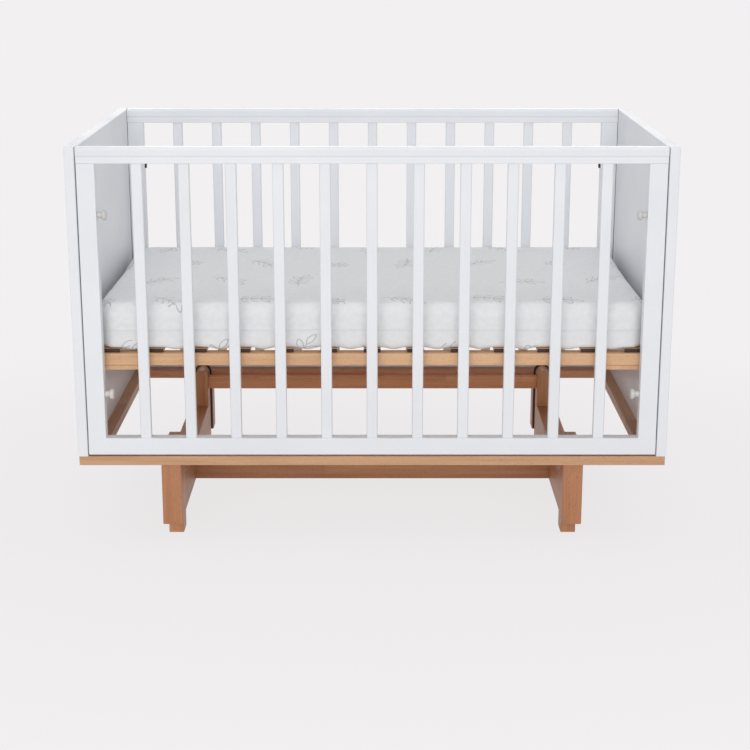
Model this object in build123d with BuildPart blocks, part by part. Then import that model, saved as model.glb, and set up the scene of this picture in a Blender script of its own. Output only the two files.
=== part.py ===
"""A crib whose body swings lengthwise on four links that hang from a low wooden stand.

Millimetres. X runs along the crib, Y from its front to its back and Z up from the floor.
The origin is on the floor, under the middle of the crib.
"""

import os

from build123d import *

os.makedirs("parts", exist_ok=True)

# Mattress, which sets the sleeping space
mattress_length = 1190
mattress_width = 590
mattress_height = 96
mattress_crown = 5
mattress_draw_in = 4
mattress_corner = 45
mattress_edge = 22
mattress_end_gap = 8
mattress_side_gap = 7.5
soft_gap = 0.3

# End panels
panel_thickness = 22
panel_height = 662.5
panel_edge = 2

# Lower frame, four boards laid flat that the panels stand on
frame_clear = 176
board_width = 45
board_thickness = 20
board_inset = 2
board_edge = 1.2

# Side rails
rail_thickness = 23
rail_setback = 0.5
rail_gap = 0.8
rail_lift = 3.5
rail_edge = 1.5
top_rail_height = 33.5
bottom_rail_height = 37
stile_width = 38
slat_count = 11
slat_pitch = 96
slat_width = 23
slat_thickness = 14
slat_tenon = 10
slat_edge = 3
mortise_slack = 0.1

# Cap strip over each top rail, as proud of the rail as the rail is set back from the panels
cap_wall = 1.8
cap_height = 17.5
cap_edge = 4

# Mattress base, measured down from the rails' tops to its slats
base_depth = 435.5
base_side_gap = 5.5
beam_height = 26
beam_thickness = 28
end_bar_thickness = 24
base_slat_count = 13
base_slat_pitch = 92
base_slat_width = 36
base_slat_thickness = 8
base_slat_inset = 9
base_edge = 2
gusset_length = 123
gusset_thickness = 9
gusset_lip = 20

# Swing, with equal links whose pivots lie along Y
swing_gap = 8
pivot_height = 196
link_length = 142
link_width = 40
link_thickness = 4
link_spacing = 858
link_edge = 0.6
bush_wall = 2
running_slack = 0.05
side_play = 0.3

# Legs, which hang from the lower frame
leg_width = 42
leg_depth = 42
leg_tail = 14
leg_edge = 2

# Stand
upright_width = 32
upright_depth = 43
upright_edge = 1.5
stretcher_thickness = 47
stretcher_height = 84
stretcher_clear = 34
crossbar_width = 90
crossbar_height = 70
end_block_length = 25
upper_bar_height = 31
upper_bar_thickness = 20
upper_bar_drop = 4
stand_edge = 2

# Fasteners
drill_slack = 0.1
pivot_diameter = 8
pivot_head = 17
pivot_bite = 30
washer_width = 18
screw_diameter = 7
screw_length = 75
screw_head = 11
screw_head_height = 4
screw_socket = 5
stretcher_screw_spread = 44
leg_screw_spread = 24
panel_screw_spread = 400
tie_bolt_diameter = 8
tie_bolt_length = 122
tie_bolt_head = 15
tie_bolt_head_height = 5
tie_bolt_spread = 44
rail_bolt_diameter = 6
rail_bolt_bite = 15
rail_bolt_head = 12
rail_bolt_head_height = 4
rail_bolt_drop = 141.5
rail_bolt_spacing = 385
insert_wall = 2
insert_length = 17
base_bolt_spread = 360

# Hand knobs on the front rail's bolts
knob_neck = 13
knob_neck_length = 10
knob_head = 22
knob_head_length = 9
knob_edge = 3

# Places that the sizes above settle
inner_length = mattress_length + 2 * mattress_end_gap
inner_width = mattress_width + 2 * mattress_side_gap
crib_length = inner_length + 2 * panel_thickness
crib_width = inner_width + 2 * (rail_thickness + rail_setback)
frame_top = frame_clear + board_thickness
frame_length = crib_length - 2 * board_inset
panel_top = frame_top + panel_height
panel_x = (inner_length + panel_thickness) / 2
rail_length = inner_length - 2 * rail_gap
rail_y = crib_width / 2 - rail_setback - rail_thickness / 2
rail_bottom = frame_top + rail_lift
slats_bottom = rail_bottom + bottom_rail_height
slats_top = panel_top - top_rail_height
cap_shoulder = panel_top - cap_height
base_top = panel_top - base_depth
beam_top = base_top - base_slat_thickness
beam_bottom = beam_top - beam_height
beam_middle = beam_bottom + beam_height / 2
base_width = inner_width - 2 * base_side_gap
board_y = (crib_width - board_width) / 2
leg_face = crib_width / 2 - board_width
upright_face = leg_face - swing_gap
upright_y = upright_face - upright_depth / 2
upright_back = upright_face - upright_depth
link_x = link_spacing / 2
link_y = upright_face + swing_gap / 2
lower_pivot = pivot_height - link_length
leg_bottom = lower_pivot - leg_tail
stand_inner = link_x - upright_width / 2
stretcher_x = stand_inner + stretcher_thickness / 2
stretcher_outer = stand_inner + stretcher_thickness
stretcher_middle = stretcher_clear + stretcher_height / 2
upper_bar_top = pivot_height - upper_bar_drop
rail_bolt_upper = panel_top - rail_bolt_drop
rail_bolt_heights = (rail_bolt_upper - rail_bolt_spacing, rail_bolt_upper)
stretcher_screw_heights = (
    stretcher_middle - stretcher_screw_spread / 2,
    stretcher_middle + stretcher_screw_spread / 2,
)
head_room = (swing_gap - link_thickness) / 2
pivot_head_height = head_room - 2 * side_play
washer_thickness = head_room - side_play

ends = (("left", -1), ("right", 1))
sides = (("front", -1), ("back", 1))


def outline(piece, axis):
    """The edges of a bar that run along one axis."""
    return piece.edges().filter_by(axis)


def facing(x, y, z, direction):
    """A place on a surface, with its Z axis pointing out along the direction."""
    return Plane(origin=(x, y, z), z_dir=direction).location


def fastener(diameter, length, head, head_height, socket):
    """A screw that points down, with its socket head just below Z 0."""
    with BuildPart() as shape:
        Cylinder(head / 2, head_height, align=(Align.CENTER, Align.CENTER, Align.MAX))
        with Locations((0, 0, -head_height)):
            Cylinder(
                diameter / 2,
                length - head_height,
                align=(Align.CENTER, Align.CENTER, Align.MAX),
            )
        with BuildSketch(Plane.XY):
            RegularPolygon(socket / 2, 6, major_radius=False)
        extrude(amount=-head_height / 2, mode=Mode.SUBTRACT)
    return shape.part


# The same wood screw ties the stand, the legs and the panels
wood_screw = fastener(screw_diameter, screw_length, screw_head, screw_head_height, screw_socket)

# Uprights, the four feet of the stand, with round tops about the upper pivots
for side, sy in sides:
    for end, sx in ends:
        with BuildPart() as upright:
            middle = Plane(
                origin=(sx * link_x, sy * upright_y, 0), x_dir=(1, 0, 0), z_dir=(0, -1, 0)
            )
            with BuildSketch(middle):
                Rectangle(upright_width, pivot_height, align=(Align.CENTER, Align.MIN))
                with Locations((0, pivot_height)):
                    Circle(upright_width / 2)
            extrude(amount=upright_depth / 2, both=True)
            rim = upright.faces().filter_by(Axis.Y).edges()
            fillet(rim.filter_by(lambda edge: edge.center().Z > upright_edge), upright_edge)
            with Locations(facing(sx * link_x, sy * upright_face, pivot_height, (0, sy, 0))):
                Hole(pivot_diameter / 2 + drill_slack, pivot_bite)
            for height in stretcher_screw_heights:
                with Locations(facing(sx * link_x, sy * upright_face, height, (0, sy, 0))):
                    CounterBoreHole(
                        screw_diameter / 2 + drill_slack,
                        screw_head / 2 + drill_slack,
                        screw_head_height,
                        upright_depth,
                    )
            outer_x = sx * (stand_inner + upright_width)
            bar_middle = upper_bar_top - upper_bar_height / 2
            with Locations(facing(outer_x, sy * upright_y, bar_middle, (sx, 0, 0))):
                CounterBoreHole(
                    screw_diameter / 2 + drill_slack,
                    screw_head / 2 + drill_slack,
                    screw_head_height,
                    upright_width,
                )
        upright.part.label = f"upright_{side}_{end}"
        export_step(upright.part, f"parts/upright_{side}_{end}.step")

# Stretchers, which join the uprights at each end of the stand
for end, sx in ends:
    with BuildPart() as stretcher:
        with Locations((sx * stretcher_x, 0, stretcher_middle)):
            Box(stretcher_thickness, 2 * upright_back, stretcher_height)
        fillet(outline(stretcher, Axis.Y), stand_edge)
        for sy in (-1, 1):
            for height in stretcher_screw_heights:
                with Locations(facing(sx * link_x, sy * upright_back, height, (0, sy, 0))):
                    Hole(screw_diameter / 2 + drill_slack, screw_length - upright_depth)
            tie_y = sy * tie_bolt_spread / 2
            with Locations(facing(sx * stretcher_outer, tie_y, stretcher_middle, (sx, 0, 0))):
                Hole(tie_bolt_diameter / 2 + drill_slack, stretcher_thickness)
    stretcher.part.label = f"stretcher_{end}"
    export_step(stretcher.part, f"parts/stretcher_{end}.step")

# Crossbar, the beam that runs along the middle from one stretcher to the other
with BuildPart() as crossbar:
    with Locations((0, 0, stretcher_clear + crossbar_height / 2)):
        Box(2 * stand_inner, crossbar_width, crossbar_height)
    fillet(outline(crossbar, Axis.X), stand_edge)
    for sx in (-1, 1):
        for sy in (-1, 1):
            tie_y = sy * tie_bolt_spread / 2
            with Locations(facing(sx * stand_inner, tie_y, stretcher_middle, (sx, 0, 0))):
                Hole(
                    tie_bolt_diameter / 2 + drill_slack,
                    tie_bolt_length - stretcher_thickness - end_block_length,
                )
crossbar.part.label = "crossbar"
export_step(crossbar.part, "parts/crossbar.step")

# End blocks, which stand out past the stretchers in line with the crossbar
with BuildPart() as end_blocks:
    for sx in (-1, 1):
        block_x = sx * (stretcher_outer + end_block_length / 2)
        with Locations((block_x, 0, stretcher_middle)):
            Box(end_block_length, crossbar_width, stretcher_height)
    fillet(outline(end_blocks, Axis.X), stand_edge)
    for sx in (-1, 1):
        block_outer = sx * (stretcher_outer + end_block_length)
        for sy in (-1, 1):
            tie_y = sy * tie_bolt_spread / 2
            with Locations(facing(block_outer, tie_y, stretcher_middle, (sx, 0, 0))):
                CounterBoreHole(
                    tie_bolt_diameter / 2 + drill_slack,
                    tie_bolt_head / 2 + drill_slack,
                    tie_bolt_head_height,
                    end_block_length,
                )
end_blocks.part.label = "end_blocks"
export_step(end_blocks.part, "parts/end_blocks.step")

# Upper bars, which tie the tops of the uprights along each side
for side, sy in sides:
    with BuildPart() as upper_bar:
        bar_middle = upper_bar_top - upper_bar_height / 2
        with Locations((0, sy * upright_y, bar_middle)):
            Box(2 * stand_inner, upper_bar_thickness, upper_bar_height)
        fillet(outline(upper_bar, Axis.X), stand_edge)
        for sx in (-1, 1):
            with Locations(facing(sx * stand_inner, sy * upright_y, bar_middle, (sx, 0, 0))):
                Hole(screw_diameter / 2 + drill_slack, screw_length - upright_width)
    upper_bar.part.label = f"upper_bar_{side}"
    export_step(upper_bar.part, f"parts/upper_bar_{side}.step")

# Screws that hold the stretchers and the upper bars to the uprights
with BuildPart() as stand_screws:
    for sx in (-1, 1):
        for sy in (-1, 1):
            for height in stretcher_screw_heights:
                with Locations(facing(sx * link_x, sy * upright_face, height, (0, sy, 0))):
                    add(wood_screw)
            outer_x = sx * (stand_inner + upright_width)
            bar_middle = upper_bar_top - upper_bar_height / 2
            with Locations(facing(outer_x, sy * upright_y, bar_middle, (sx, 0, 0))):
                add(wood_screw)
stand_screws.part.label = "stand_screws"
export_step(stand_screws.part, "parts/stand_screws.step")

# Bolts that pull the end blocks and the stretchers against the crossbar
tie_bolt = fastener(
    tie_bolt_diameter, tie_bolt_length, tie_bolt_head, tie_bolt_head_height, screw_socket
)
with BuildPart() as crossbar_bolts:
    for sx in (-1, 1):
        block_outer = sx * (stretcher_outer + end_block_length)
        for sy in (-1, 1):
            tie_y = sy * tie_bolt_spread / 2
            with Locations(facing(block_outer, tie_y, stretcher_middle, (sx, 0, 0))):
                add(tie_bolt)
crossbar_bolts.part.label = "crossbar_bolts"
export_step(crossbar_bolts.part, "parts/crossbar_bolts.step")

# Upper pivot bolts, each screwed into its upright through a link, with a washer behind the link
upper_pivot_bolt = fastener(
    pivot_diameter,
    swing_gap - side_play + pivot_bite,
    pivot_head,
    pivot_head_height,
    screw_socket,
)
with BuildPart() as upper_pivot_bolts:
    for sx in (-1, 1):
        for sy in (-1, 1):
            head_y = sy * (leg_face - side_play)
            with Locations(facing(sx * link_x, head_y, pivot_height, (0, sy, 0))):
                add(upper_pivot_bolt)
            washer = Plane(origin=(sx * link_x, sy * upright_face, pivot_height), z_dir=(0, sy, 0))
            with BuildSketch(washer):
                Circle(washer_width / 2)
                Circle(pivot_diameter / 2 + drill_slack, mode=Mode.SUBTRACT)
            extrude(amount=washer_thickness)
upper_pivot_bolts.part.label = "upper_pivot_bolts"
export_step(upper_pivot_bolts.part, "parts/upper_pivot_bolts.step")

# Links, the four flat bars that the crib hangs from, each with a bush in both eyes
for side, sy in sides:
    for end, sx in ends:
        middle = Plane(
            origin=(sx * link_x, sy * link_y, pivot_height - link_length / 2),
            x_dir=(0, 0, 1),
            z_dir=(0, sy, 0),
        )
        with BuildPart() as link:
            with BuildSketch(middle):
                SlotCenterToCenter(link_length, link_width)
                with GridLocations(link_length, 0, 2, 1):
                    Circle(pivot_diameter / 2 + running_slack + bush_wall, mode=Mode.SUBTRACT)
            extrude(amount=link_thickness / 2, both=True)
            rim = link.faces().filter_by(Axis.Y).edges()
            rim = rim.filter_by(lambda edge: edge.length > link_width)
            chamfer(rim, link_edge)
        link.part.label = f"link_{side}_{end}"
        export_step(link.part, f"parts/link_{side}_{end}.step")

        with BuildPart() as link_bushes:
            with BuildSketch(middle):
                with GridLocations(link_length, 0, 2, 1):
                    Circle(pivot_diameter / 2 + running_slack + bush_wall)
                    Circle(pivot_diameter / 2 + running_slack, mode=Mode.SUBTRACT)
            extrude(amount=link_thickness / 2, both=True)
        link_bushes.part.label = f"link_bushes_{side}_{end}"
        export_step(link_bushes.part, f"parts/link_bushes_{side}_{end}.step")

# Legs, which hang from the lower frame with the lower pivots near their feet
leg_y = leg_face + leg_depth / 2
for side, sy in sides:
    for end, sx in ends:
        with BuildPart() as leg:
            with Locations((sx * link_x, sy * leg_y, leg_bottom)):
                Box(
                    leg_width,
                    leg_depth,
                    frame_clear - leg_bottom,
                    align=(Align.CENTER, Align.CENTER, Align.MIN),
                )
            fillet(outline(leg, Axis.Z), leg_edge)
            chamfer(leg.faces().sort_by(Axis.Z)[0].edges(), leg_edge / 2)
            with Locations(facing(sx * link_x, sy * leg_face, lower_pivot, (0, -sy, 0))):
                Hole(pivot_diameter / 2 + drill_slack, pivot_bite)
            for offset in (-leg_screw_spread / 2, leg_screw_spread / 2):
                with Locations((sx * link_x + offset, sy * leg_y, frame_clear)):
                    Hole(screw_diameter / 2 + drill_slack, screw_length - board_thickness)
        leg.part.label = f"leg_{side}_{end}"
        export_step(leg.part, f"parts/leg_{side}_{end}.step")

# Lower pivot bolts, each screwed into its leg through a link, with a washer behind the link
lower_pivot_bolt = fastener(
    pivot_diameter,
    swing_gap - side_play + pivot_bite,
    pivot_head,
    pivot_head_height,
    screw_socket,
)
with BuildPart() as lower_pivot_bolts:
    for sx in (-1, 1):
        for sy in (-1, 1):
            head_y = sy * (upright_face + side_play)
            with Locations(facing(sx * link_x, head_y, lower_pivot, (0, -sy, 0))):
                add(lower_pivot_bolt)
            washer = Plane(origin=(sx * link_x, sy * leg_face, lower_pivot), z_dir=(0, -sy, 0))
            with BuildSketch(washer):
                Circle(washer_width / 2)
                Circle(pivot_diameter / 2 + drill_slack, mode=Mode.SUBTRACT)
            extrude(amount=washer_thickness)
lower_pivot_bolts.part.label = "lower_pivot_bolts"
export_step(lower_pivot_bolts.part, "parts/lower_pivot_bolts.step")

# Front and back boards of the lower frame, drilled for the legs and the panels
for side, sy in sides:
    with BuildPart() as board:
        with Locations((0, sy * board_y, frame_clear)):
            Box(
                frame_length,
                board_width,
                board_thickness,
                align=(Align.CENTER, Align.CENTER, Align.MIN),
            )
        fillet(outline(board, Axis.X), board_edge)
        for sx in (-1, 1):
            for offset in (-leg_screw_spread / 2, leg_screw_spread / 2):
                with Locations((sx * link_x + offset, sy * leg_y, frame_top)):
                    CounterBoreHole(
                        screw_diameter / 2 + drill_slack,
                        screw_head / 2 + drill_slack,
                        screw_head_height,
                        board_thickness,
                    )
            with Locations(facing(sx * panel_x, sy * board_y, frame_clear, (0, 0, -1))):
                CounterBoreHole(
                    screw_diameter / 2 + drill_slack,
                    screw_head / 2 + drill_slack,
                    screw_head_height,
                    board_thickness,
                )
    board.part.label = f"lower_board_{side}"
    export_step(board.part, f"parts/lower_board_{side}.step")

# End boards of the lower frame, between the front and back ones
panel_screw_rows = (-panel_screw_spread / 2, 0, panel_screw_spread / 2)
for end, sx in ends:
    with BuildPart() as board:
        with Locations((sx * (frame_length - board_width) / 2, 0, frame_clear)):
            Box(
                board_width,
                2 * leg_face,
                board_thickness,
                align=(Align.CENTER, Align.CENTER, Align.MIN),
            )
        fillet(outline(board, Axis.Y), board_edge)
        for row in panel_screw_rows:
            with Locations(facing(sx * panel_x, row, frame_clear, (0, 0, -1))):
                CounterBoreHole(
                    screw_diameter / 2 + drill_slack,
                    screw_head / 2 + drill_slack,
                    screw_head_height,
                    board_thickness,
                )
    board.part.label = f"lower_board_{end}"
    export_step(board.part, f"parts/lower_board_{end}.step")

# Screws that hold the legs under the front and back boards
with BuildPart() as leg_screws:
    for sx in (-1, 1):
        for sy in (-1, 1):
            for offset in (-leg_screw_spread / 2, leg_screw_spread / 2):
                with Locations((sx * link_x + offset, sy * leg_y, frame_top)):
                    add(wood_screw)
leg_screws.part.label = "leg_screws"
export_step(leg_screws.part, "parts/leg_screws.step")

# End panels, plain boards with softened edges, flush with the tops of the rails
base_bolt_rows = (-base_bolt_spread / 2, 0, base_bolt_spread / 2)
base_bolt_bite = panel_thickness - insert_length / 2
insert_outer = rail_bolt_diameter / 2 + running_slack + insert_wall
for end, sx in ends:
    with BuildPart() as panel:
        with Locations((sx * panel_x, 0, frame_top)):
            Box(
                panel_thickness,
                crib_width,
                panel_height,
                align=(Align.CENTER, Align.CENTER, Align.MIN),
            )
        rim = panel.edges().filter_by(lambda edge: edge.center().Z > frame_top)
        fillet(rim, panel_edge)
        for sy in (-1, 1):
            for height in rail_bolt_heights:
                with Locations(facing(sx * inner_length / 2, sy * rail_y, height, (-sx, 0, 0))):
                    Hole(insert_outer + drill_slack, insert_length)
        for row in base_bolt_rows:
            with Locations(facing(sx * inner_length / 2, row, beam_middle, (-sx, 0, 0))):
                Hole(rail_bolt_diameter / 2 + drill_slack, base_bolt_bite)
        for row in (-board_y, *panel_screw_rows, board_y):
            with Locations(facing(sx * panel_x, row, frame_top, (0, 0, -1))):
                Hole(screw_diameter / 2 + drill_slack, screw_length - board_thickness)
    panel.part.label = f"end_panel_{end}"
    export_step(panel.part, f"parts/end_panel_{end}.step")

# Screws that hold the panels on the lower frame, put in from underneath
with BuildPart() as panel_screws:
    for sx in (-1, 1):
        for row in (-board_y, *panel_screw_rows, board_y):
            with Locations(facing(sx * panel_x, row, frame_clear, (0, 0, -1))):
                add(wood_screw)
panel_screws.part.label = "panel_screws"
export_step(panel_screws.part, "parts/panel_screws.step")

# Threaded inserts in the panels, for the bolts and hand knobs of both side rails
with BuildPart() as rail_inserts:
    for sx in (-1, 1):
        for sy in (-1, 1):
            for height in rail_bolt_heights:
                insert = Plane(
                    origin=(sx * inner_length / 2, sy * rail_y, height), z_dir=(sx, 0, 0)
                )
                with BuildSketch(insert):
                    Circle(insert_outer)
                    Circle(rail_bolt_diameter / 2 + running_slack, mode=Mode.SUBTRACT)
                extrude(amount=insert_length)
rail_inserts.part.label = "rail_inserts"
export_step(rail_inserts.part, "parts/rail_inserts.step")

# Side rails, alike at the front and the back
slat_length = slats_top - slats_bottom + 2 * slat_tenon
for side, sy in sides:
    with BuildPart() as top_rail:
        with BuildSketch(Plane.YZ.offset(-rail_length / 2)):
            with Locations((sy * rail_y, slats_top)):
                Rectangle(
                    rail_thickness,
                    top_rail_height - cap_height,
                    align=(Align.CENTER, Align.MIN),
                )
                Rectangle(
                    rail_thickness + 2 * rail_setback - 2 * cap_wall,
                    top_rail_height - cap_wall,
                    align=(Align.CENTER, Align.MIN),
                )
        extrude(amount=rail_length)
        low = outline(top_rail, Axis.X).group_by(Axis.Z)[0]
        fillet(low, rail_edge)
        with BuildSketch(Plane.XY.offset(slats_top)):
            with Locations((0, sy * rail_y)):
                with GridLocations(slat_pitch, 0, slat_count, 1):
                    RectangleRounded(
                        slat_width + 2 * mortise_slack,
                        slat_thickness + 2 * mortise_slack,
                        slat_edge,
                    )
        extrude(amount=slat_tenon + mortise_slack, mode=Mode.SUBTRACT)
    top_rail.part.label = f"{side}_top_rail"
    export_step(top_rail.part, f"parts/{side}_top_rail.step")

    with BuildPart() as bottom_rail:
        with Locations((0, sy * rail_y, rail_bottom)):
            Box(
                rail_length,
                rail_thickness,
                bottom_rail_height,
                align=(Align.CENTER, Align.CENTER, Align.MIN),
            )
        fillet(outline(bottom_rail, Axis.X), rail_edge)
        with BuildSketch(Plane.XY.offset(slats_bottom)):
            with Locations((0, sy * rail_y)):
                with GridLocations(slat_pitch, 0, slat_count, 1):
                    RectangleRounded(
                        slat_width + 2 * mortise_slack,
                        slat_thickness + 2 * mortise_slack,
                        slat_edge,
                    )
        extrude(amount=-slat_tenon - mortise_slack, mode=Mode.SUBTRACT)
    bottom_rail.part.label = f"{side}_bottom_rail"
    export_step(bottom_rail.part, f"parts/{side}_bottom_rail.step")

    for end, sx in ends:
        with BuildPart() as stile:
            with Locations((sx * (rail_length - stile_width) / 2, sy * rail_y, slats_bottom)):
                Box(
                    stile_width,
                    rail_thickness,
                    slats_top - slats_bottom,
                    align=(Align.CENTER, Align.CENTER, Align.MIN),
                )
            fillet(outline(stile, Axis.Z), rail_edge)
            for height in rail_bolt_heights:
                stile_outer = sx * rail_length / 2
                with Locations(facing(stile_outer, sy * rail_y, height, (sx, 0, 0))):
                    Hole(rail_bolt_diameter / 2 + running_slack, stile_width)
        stile.part.label = f"{side}_stile_{end}"
        export_step(stile.part, f"parts/{side}_stile_{end}.step")

    with BuildPart() as slats:
        with BuildSketch(Plane.XY.offset(slats_bottom - slat_tenon)):
            with Locations((0, sy * rail_y)):
                with GridLocations(slat_pitch, 0, slat_count, 1):
                    RectangleRounded(slat_width, slat_thickness, slat_edge)
        extrude(amount=slat_length)
    slats.part.label = f"{side}_slats"
    export_step(slats.part, f"parts/{side}_slats.step")

    with BuildPart() as cap_strip:
        with BuildSketch(Plane.YZ.offset(-rail_length / 2)):
            with Locations((sy * rail_y, panel_top)):
                Rectangle(
                    rail_thickness + 2 * rail_setback,
                    cap_height,
                    align=(Align.CENTER, Align.MAX),
                )
        extrude(amount=rail_length)
        fillet(outline(cap_strip, Axis.X).group_by(Axis.Z)[-1], cap_edge)
        with BuildSketch(Plane.YZ.offset(-rail_length / 2)):
            with Locations((sy * rail_y, cap_shoulder)):
                Rectangle(
                    rail_thickness + 2 * rail_setback - 2 * cap_wall,
                    cap_height - cap_wall,
                    align=(Align.CENTER, Align.MIN),
                )
        extrude(amount=rail_length, mode=Mode.SUBTRACT)
    cap_strip.part.label = f"{side}_cap_strip"
    export_step(cap_strip.part, f"parts/{side}_cap_strip.step")

# Bolts of the back rail, with low heads on the inner edges of its stiles
stile_inner = rail_length / 2 - stile_width
rail_bolt_reach = stile_width + rail_gap + rail_bolt_bite
back_rail_bolt = fastener(
    rail_bolt_diameter,
    rail_bolt_head_height + rail_bolt_reach,
    rail_bolt_head,
    rail_bolt_head_height,
    screw_socket,
)
with BuildPart() as back_rail_bolts:
    for sx in (-1, 1):
        head_x = sx * (stile_inner - rail_bolt_head_height)
        for height in rail_bolt_heights:
            with Locations(facing(head_x, rail_y, height, (-sx, 0, 0))):
                add(back_rail_bolt)
back_rail_bolts.part.label = "back_rail_bolts"
export_step(back_rail_bolts.part, "parts/back_rail_bolts.step")

# Hand knobs of the front rail, each with its stud moulded in
for end, sx in ends:
    for level, height in zip(("lower", "upper"), rail_bolt_heights):
        with BuildPart() as knob:
            seat = (sx * stile_inner, -rail_y, height)
            with BuildSketch(Plane(origin=seat, x_dir=(0, 0, 1), z_dir=(0, -sx, 0))):
                with BuildLine():
                    Polyline(
                        (0, -rail_bolt_reach),
                        (rail_bolt_diameter / 2, -rail_bolt_reach),
                        (rail_bolt_diameter / 2, side_play),
                        (knob_neck / 2, side_play),
                        (knob_neck / 2, knob_neck_length),
                        (knob_head / 2, knob_neck_length),
                        (knob_head / 2, knob_neck_length + knob_head_length),
                        (0, knob_neck_length + knob_head_length),
                        close=True,
                    )
                make_face()
            revolve(axis=Axis(seat, (1, 0, 0)))
            rims = knob.edges().filter_by(GeomType.CIRCLE)
            fillet(rims.filter_by(lambda edge: edge.radius > (knob_neck + knob_head) / 4), knob_edge)
        knob.part.label = f"knob_{level}_{end}"
        export_step(knob.part, f"parts/knob_{level}_{end}.step")

# Long beams of the mattress base
beam_y = (base_width - beam_thickness) / 2
for side, sy in sides:
    with BuildPart() as beam:
        with Locations((0, sy * beam_y, beam_bottom)):
            Box(
                inner_length,
                beam_thickness,
                beam_height,
                align=(Align.CENTER, Align.CENTER, Align.MIN),
            )
        fillet(outline(beam, Axis.X), base_edge)
    beam.part.label = f"base_beam_{side}"
    export_step(beam.part, f"parts/base_beam_{side}.step")

# End bars of the mattress base, bolted to the panels
for end, sx in ends:
    with BuildPart() as end_bar:
        with Locations((sx * (inner_length - end_bar_thickness) / 2, 0, beam_bottom)):
            Box(
                end_bar_thickness,
                base_width - 2 * beam_thickness,
                beam_height,
                align=(Align.CENTER, Align.CENTER, Align.MIN),
            )
        fillet(outline(end_bar, Axis.Y), base_edge)
        for row in base_bolt_rows:
            with Locations(facing(sx * inner_length / 2, row, beam_middle, (sx, 0, 0))):
                Hole(rail_bolt_diameter / 2 + drill_slack, end_bar_thickness)
    end_bar.part.label = f"base_end_bar_{end}"
    export_step(end_bar.part, f"parts/base_end_bar_{end}.step")

# Gussets under the four corners of the mattress base
with BuildPart() as base_gussets:
    for sx in (-1, 1):
        for sy in (-1, 1):
            corner_x = sx * inner_length / 2
            corner_y = sy * base_width / 2
            with BuildSketch(Plane.XY.offset(beam_bottom)):
                with BuildLine():
                    Polyline(
                        (corner_x, corner_y),
                        (corner_x - sx * gusset_length, corner_y),
                        (corner_x - sx * gusset_length, corner_y - sy * gusset_lip),
                        (corner_x - sx * gusset_lip, corner_y - sy * gusset_length),
                        (corner_x, corner_y - sy * gusset_length),
                        close=True,
                    )
                make_face()
            extrude(amount=-gusset_thickness)
base_gussets.part.label = "base_gussets"
export_step(base_gussets.part, "parts/base_gussets.step")

# Slats across the mattress base
with BuildPart() as base_slats:
    with Locations((0, 0, beam_top)):
        with GridLocations(base_slat_pitch, 0, base_slat_count, 1):
            Box(
                base_slat_width,
                base_width - 2 * base_slat_inset,
                base_slat_thickness,
                align=(Align.CENTER, Align.CENTER, Align.MIN),
            )
    fillet(outline(base_slats, Axis.Y), base_edge)
base_slats.part.label = "base_slats"
export_step(base_slats.part, "parts/base_slats.step")

# Bolts that hold the mattress base to the panels
base_bolt = fastener(
    rail_bolt_diameter,
    rail_bolt_head_height + end_bar_thickness + base_bolt_bite,
    rail_bolt_head,
    rail_bolt_head_height,
    screw_socket,
)
with BuildPart() as base_bolts:
    for sx in (-1, 1):
        head_x = sx * (inner_length / 2 - end_bar_thickness - rail_bolt_head_height)
        for row in base_bolt_rows:
            with Locations(facing(head_x, row, beam_middle, (-sx, 0, 0))):
                add(base_bolt)
base_bolts.part.label = "base_bolts"
export_step(base_bolts.part, "parts/base_bolts.step")

# Mattress, crowned across its width, with sides that draw in between its corners
with BuildPart() as mattress:
    half_length = mattress_length / 2
    half_width = mattress_width / 2
    mattress_bottom = base_top + soft_gap
    with BuildSketch(Plane.XY.offset(mattress_bottom)):
        with BuildLine():
            for sy in (-1, 1):
                ThreePointArc(
                    (-half_length, sy * half_width),
                    (0, sy * (half_width - mattress_draw_in)),
                    (half_length, sy * half_width),
                )
            for sx in (-1, 1):
                ThreePointArc(
                    (sx * half_length, -half_width),
                    (sx * (half_length - mattress_draw_in), 0),
                    (sx * half_length, half_width),
                )
        make_face()
    extrude(amount=mattress_height)
    with BuildSketch(Plane.YZ.offset(-mattress_length)):
        with BuildLine():
            shoulder = mattress_bottom + mattress_height - mattress_crown
            Polyline(
                (-mattress_width, shoulder),
                (-mattress_width, mattress_bottom),
                (mattress_width, mattress_bottom),
                (mattress_width, shoulder),
            )
            ThreePointArc(
                (-mattress_width, shoulder),
                (0, mattress_bottom + mattress_height),
                (mattress_width, shoulder),
            )
        make_face()
    extrude(amount=2 * mattress_length, mode=Mode.INTERSECT)
    fillet(outline(mattress, Axis.Z), mattress_corner)
    wide_faces = mattress.faces().sort_by(Axis.Z)
    fillet(wide_faces[-1].edges() + wide_faces[0].edges(), mattress_edge)
mattress.part.label = "mattress"
export_step(mattress.part, "parts/mattress.step")
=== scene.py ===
import math

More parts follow.
